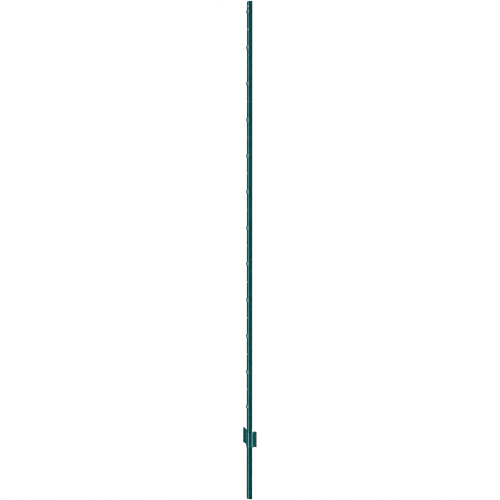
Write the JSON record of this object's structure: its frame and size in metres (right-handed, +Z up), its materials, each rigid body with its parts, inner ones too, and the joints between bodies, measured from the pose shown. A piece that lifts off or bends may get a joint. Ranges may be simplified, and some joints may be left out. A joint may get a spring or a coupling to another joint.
{
  "type": "fence post",
  "caption": "Flared steel channel fence post with pierced wire lugs, bolt and tie holes along the crown, and a winged anchor plate near its lower end.",
  "frame": {"origin": "on the outer face of the crown, in its middle, at the post's lower end", "axes": "+Z up along the post, +Y from the crown towards the open back, +X along the anchor plate's wings"},
  "size_m": [0.088, 0.0203, 2.1],
  "materials": {
    "post_paint": "dark green gloss paint",
    "plate_paint": "dark green gloss paint"
  },
  "bodies": {
    "root": {"post_channel": "post_paint", "anchor_plate": "plate_paint"}
  },
  "joints": []
}
